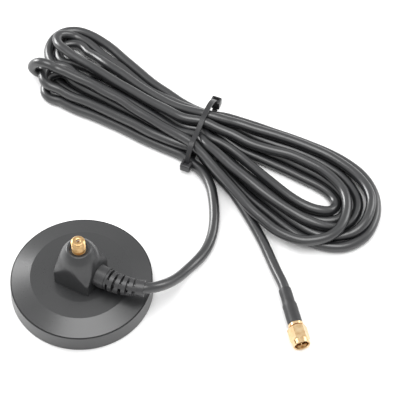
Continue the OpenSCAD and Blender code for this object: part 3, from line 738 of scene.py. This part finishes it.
def makeStud():
    low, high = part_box("stud_body")
    bottom, top = low.z / mm, high.z / mm
    radius = stud["radius"]
    neck = radius - 0.55
    levels = [(bottom, radius), (32.4, radius), (32.5, radius - 0.5), (32.5, neck), (33.5, neck)]
    levels += [(33.55, radius - 0.5), (33.9, radius - 0.5), (33.95, radius - 0.4)]
    z = 34.0
    while z < top - 0.5:
        levels.append((z, None))
        z += 0.06
    levels += [(top - 0.42, radius - 0.22), (top - 0.05, radius - 0.62), (top, radius - 0.72)]
    levels += [(top, stud["mouth"] + 0.08), (top - 0.08, stud["mouth"]), (top - 0.6, stud["mouth"])]
    levels += [(top - 0.6, stud["bore"]), (bottom, stud["bore"])]

    def place(row, angle):
        height, reach = levels[row]
        if reach is None:
            phase = (height / stud["pitch"] - angle / (2 * math.pi)) % 1.0
            ridge = min(1.0, max(0.0, 1.25 - abs(phase - 0.5) * 3.4))
            grow = min(1.0, max(0.0, (height - 34.0) / 0.5))
            grow *= min(1.0, max(0.0, (top - 0.25 - height) / 0.35))
            reach = radius - stud["depth"] * (1 - ridge) * grow - 0.06 * (1 - grow)
        return (reach * math.cos(angle), reach * math.sin(angle), height)

    shape = bmesh.new()
    latheGrid(shape, len(levels), 72, place)
    made = sharpen(finishMesh("stud_thread", shape, studGold), 50)
    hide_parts("stud_body")


makeStud()
print("stud turned")

# The sleeve: shrunk over the ferrule, a little uneven, with a soft step
sleeve = {
    "mouth": (101.5, -30.5, 4.0),
    "headingDegrees": -76.0,
    "start": 11.55,
    "end": 30.55,
}


def plugFrame():
    # local z runs from the mouth back along the cord
    heading = math.radians(sleeve["headingDegrees"] + 180)
    along = Vector((math.cos(heading), math.sin(heading), 0))
    up = Vector((0, 0, 1))
    side = up.cross(along)
    return Matrix.Translation(Vector(sleeve["mouth"])) @ Matrix((side, up, along)).transposed().to_4x4()


def makeSleeveTube():
    start, end = sleeve["start"], sleeve["end"]
    outer = [
        (start, 3.36), (start + 0.12, 3.42), (start + 0.8, 3.40), (start + 3, 3.39), (start + 5, 3.41),
        (start + 7.5, 3.39), (start + 9.6, 3.41), (start + 10.2, 3.38), (start + 10.9, 3.22),
        (start + 11.6, 3.04),
        (start + 12.3, 2.97), (start + 14.5, 2.95), (start + 16.8, 2.96), (end - 0.3, 2.94), (end, 2.86),
    ]
    inner = [(end, 2.56), (start + 10.4, 2.56), (start + 10.2, 3.03), (start, 3.03)]
    levels = outer + inner
    frameMatrix = plugFrame()

    def place(row, angle):
        height, reach = levels[row]
        if row < len(outer):
            reach += 0.025 * math.sin(3 * angle + height * 0.9) + 0.015 * math.sin(5 * angle - height * 1.7)
        return frameMatrix @ Vector((reach * math.cos(angle), reach * math.sin(angle), height))

    shape = bmesh.new()
    latheGrid(shape, len(levels), 64, place)
    made = sharpen(finishMesh("sleeve_tube", shape, sleeveFinish), 45)
    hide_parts("shrink_sleeve")
    return made


sleeveTube = makeSleeveTube()

# The ties: two straps that close each other, with ratchet heads
tie = {
    "middle": (53.5, 88.5),
    "turnDegrees": -20.0,
    "width": 2.6,
    "thick": 1.0,
    "headHalf": (2.6, 2.3),
    "headRound": 0.7,
    "over": [
        (20.3, 3.2), (20.1, 5.5), (19.5, 8.5), (18.2, 11.4), (15.6, 13.6), (12.2, 15.0), (8, 15.5), (3, 15.4),
        (-2, 14.1), (-6, 13.4), (-9.5, 13.5), (-12, 13.4), (-14, 12.6), (-16, 10.8), (-18.2, 7.8),
        (-19.6, 4.6), (-20.0, 2.2),
    ],
    "under": [
        (20.3, 4.6), (20.1, 3.0), (19.2, 1.5), (17.2, 0.65), (14, 0.55), (0, 0.55), (-14, 0.55),
        (-17.2, 0.65), (-19, 1.5), (-19.9, 3.0), (-20.1, 4.6),
    ],
}


def tieFrame():
    turn = Matrix.Rotation(math.radians(tie["turnDegrees"]), 4, "Z")
    return Matrix.Translation(Vector((*tie["middle"], 0))) @ turn


def makeStrap(name, path, toothed):
    # a flat strap swept along its path, with fine teeth on the side that the head grips
    line = throughPoints([(0, a, b) for a, b in path], 0.25)
    tangent = np.gradient(line, axis=0)
    tangent /= np.linalg.norm(tangent, axis=1)[:, None]
    normal = np.stack([np.zeros(len(line)), -tangent[:, 2], tangent[:, 1]], axis=1)
    half, thick = tie["width"] / 2, tie["thick"] / 2
    section = [
        (-half, -thick * 0.5), (-half + 0.15, -thick), (-half * 0.45, -thick), (half * 0.45, -thick),
        (half - 0.15, -thick), (half, -thick * 0.5), (half, thick * 0.5), (half - 0.2, thick),
        (half * 0.5, thick * 0.9), (-half * 0.5, thick * 0.9), (-half + 0.2, thick), (-half, thick * 0.5),
    ]
    frameMatrix = tieFrame()
    shape = bmesh.new()
    rings = []
    for i, point in enumerate(line):
        ring = []
        for k, (a, b) in enumerate(section):
            cut = 0.22 if toothed and k in (2, 3) and (i // 2) % 2 else 0.0
            spot = Vector(point) + Vector((a, 0, 0)) + Vector(normal[i]) * (b + cut)
            ring.append(shape.verts.new(frameMatrix @ spot))
        rings.append(ring)
    joinRings(shape, rings)
    shape.faces.new(rings[0][::-1])
    shape.faces.new(rings[-1])
    return sharpen(finishMesh(name, shape, nylon), 40)


def makeTieHead(name, low, high, middle):
    # rounded ratchet head with a recess where the strap goes through
    shape = bmesh.new()
    wide, deep = tie["headHalf"]
    bend = tie["headRound"]
    rows = [(low, 0.82), (low + 0.35, 0.97), (low + 0.8, 1.0)]
    rows += [(high - 0.7, 1.0), (high - 0.25, 0.95), (high, 0.80)]
    corner = 10
    outline = []
    for cornerIndex, (sx, sy) in enumerate(((1, 1), (-1, 1), (-1, -1), (1, -1))):
        for step in range(corner + 1):
            angle = math.radians(90 * cornerIndex + 90 * step / corner)
            x = sx * (wide - bend) + bend * math.cos(angle)
            y = sy * (deep - bend) + bend * math.sin(angle)
            outline.append((x, y))
    frameMatrix = tieFrame()
    rings = []
    for height, share in rows:
        rings.append([shape.verts.new((x * share, middle + y * share, height)) for x, y in outline])
    joinRings(shape, rings)
    caps = [shape.faces.new(rings[0][::-1]), shape.faces.new(rings[-1])]
    for face in caps:
        bmesh.ops.inset_region(shape, faces=[face], thickness=0.62, depth=0)
        bmesh.ops.inset_region(shape, faces=[face], thickness=0.12, depth=-0.9)
    bmesh.ops.transform(shape, matrix=frameMatrix, verts=shape.verts)
    return sharpen(finishMesh(name, shape, nylon), 40)


strapOver = makeStrap("tie_strap_over", tie["over"], False)
strapUnder = makeStrap("tie_strap_under", tie["under"], True)
headFar = makeTieHead("tie_head_far", 4.0, 9.0, 20.9)
headNear = makeTieHead("tie_head_near", 2.2, 6.4, -20.4)
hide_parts("cable_tie_over")
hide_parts("cable_tie_under")
print("ties closed")

# Materials of the CAD pieces that stay
finishes = {
    "base_shell": paint,
    "ring_magnet": ferrite,
    "pole_plate": zinc,
    "foot_pad": footRubber,
    "tower_screws": zinc,
    "stud_insulator": insulator,
    "stud_contact": gold,
    "ground_tag": zinc,
    "stud_washer": zinc,
    "stud_nut": gold,
    "core_lead": copper,
    "braid_clamp": gold,
    "strain_relief": bootRubber,
    "crimp_ferrule": gold,
    "braid_end": braid,
    "plug_core": insulator,
    "plug_body": gold,
    "plug_insulator": insulator,
    "plug_pin": gold,
    "plug_gasket": gasketRubber,
    "retaining_ring": zinc,
    "coupling_nut": gold,
}
for nodeName, finish in finishes.items():
    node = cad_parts[nodeName]
    node.data.materials.clear()
    node.data.materials.append(finish)
print("CAD pieces finished:", len(finishes))

cord.data.materials.append(jacket)
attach(cord, "antenna_base")
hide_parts("cord_base_lead", "cord_hank", "cord_plug_lead")
onCord = [sleeveTube, strapOver, strapUnder, headFar, headNear]
onCord += [
    "strain_relief", "crimp_ferrule", "braid_end", "plug_core", "plug_body", "plug_insulator", "plug_pin",
    "plug_gasket", "retaining_ring", "coupling_nut",
]
onCord = [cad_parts[piece] if isinstance(piece, str) else piece for piece in onCord]

# Bench and light
bench = {
    "size": 6.0,
    "colour": (0.9, 0.9, 0.9),
    "skyStrength": 0.85,
    "lamps": [
        ("top_softbox", (0.05, -0.12, 1.15), (0.05, 0.03, 0.0), 0.8, 8.0),
        ("left_softbox", (-0.8, 0.55, 0.38), (0.03, 0.03, 0.0), 0.5, 9.5),
        ("right_softbox", (0.85, 0.45, 0.5), (0.06, 0.05, 0.0), 0.5, 3.0),
    ],
}


def makeBench():
    shape = bmesh.new()
    half = bench["size"] / 2
    square = ((-half, -half), (half, -half), (half, half), (-half, half))
    shape.faces.new([shape.verts.new((x, y, 0)) for x, y in square])
    data = bpy.data.meshes.new("bench_top")
    shape.to_mesh(data)
    shape.free()
    top = bpy.data.objects.new("bench_top", data)
    top.location = (0, 0, -0.0001)
    bpy.context.scene.collection.objects.link(top)
    card = Finish("bench_card", Roughness=0.85, Specular_IOR_Level=0.2)
    cloud = card.noise(3.0, 2.0)
    card.send(Base_Color=card.blend(cloud, bench["colour"], tuple(c * 1.03 for c in bench["colour"])))
    data.materials.append(card.material)


def makeLight():
    world = bpy.data.worlds.new("bright_room")
    bpy.context.scene.world = world
    world.use_nodes = True
    room = world.node_tree.nodes["Background"]
    room.inputs["Color"].default_value = (1, 1, 1, 1)
    room.inputs["Strength"].default_value = bench["skyStrength"]
    for name, place, target, size, power in bench["lamps"]:
        data = bpy.data.lights.new(name, "AREA")
        data.shape = "SQUARE"
        data.size = size
        data.energy = power
        lamp = bpy.data.objects.new(name, data)
        aim = Vector(target) - Vector(place)
        turn = aim.to_track_quat("-Z", "Y").to_matrix().to_4x4()
        lamp.matrix_world = Matrix.Translation(Vector(place)) @ turn
        bpy.context.scene.collection.objects.link(lamp)


makeBench()
makeLight()
bpy.context.scene.view_settings.view_transform = "Standard"
print("bench and light ready")
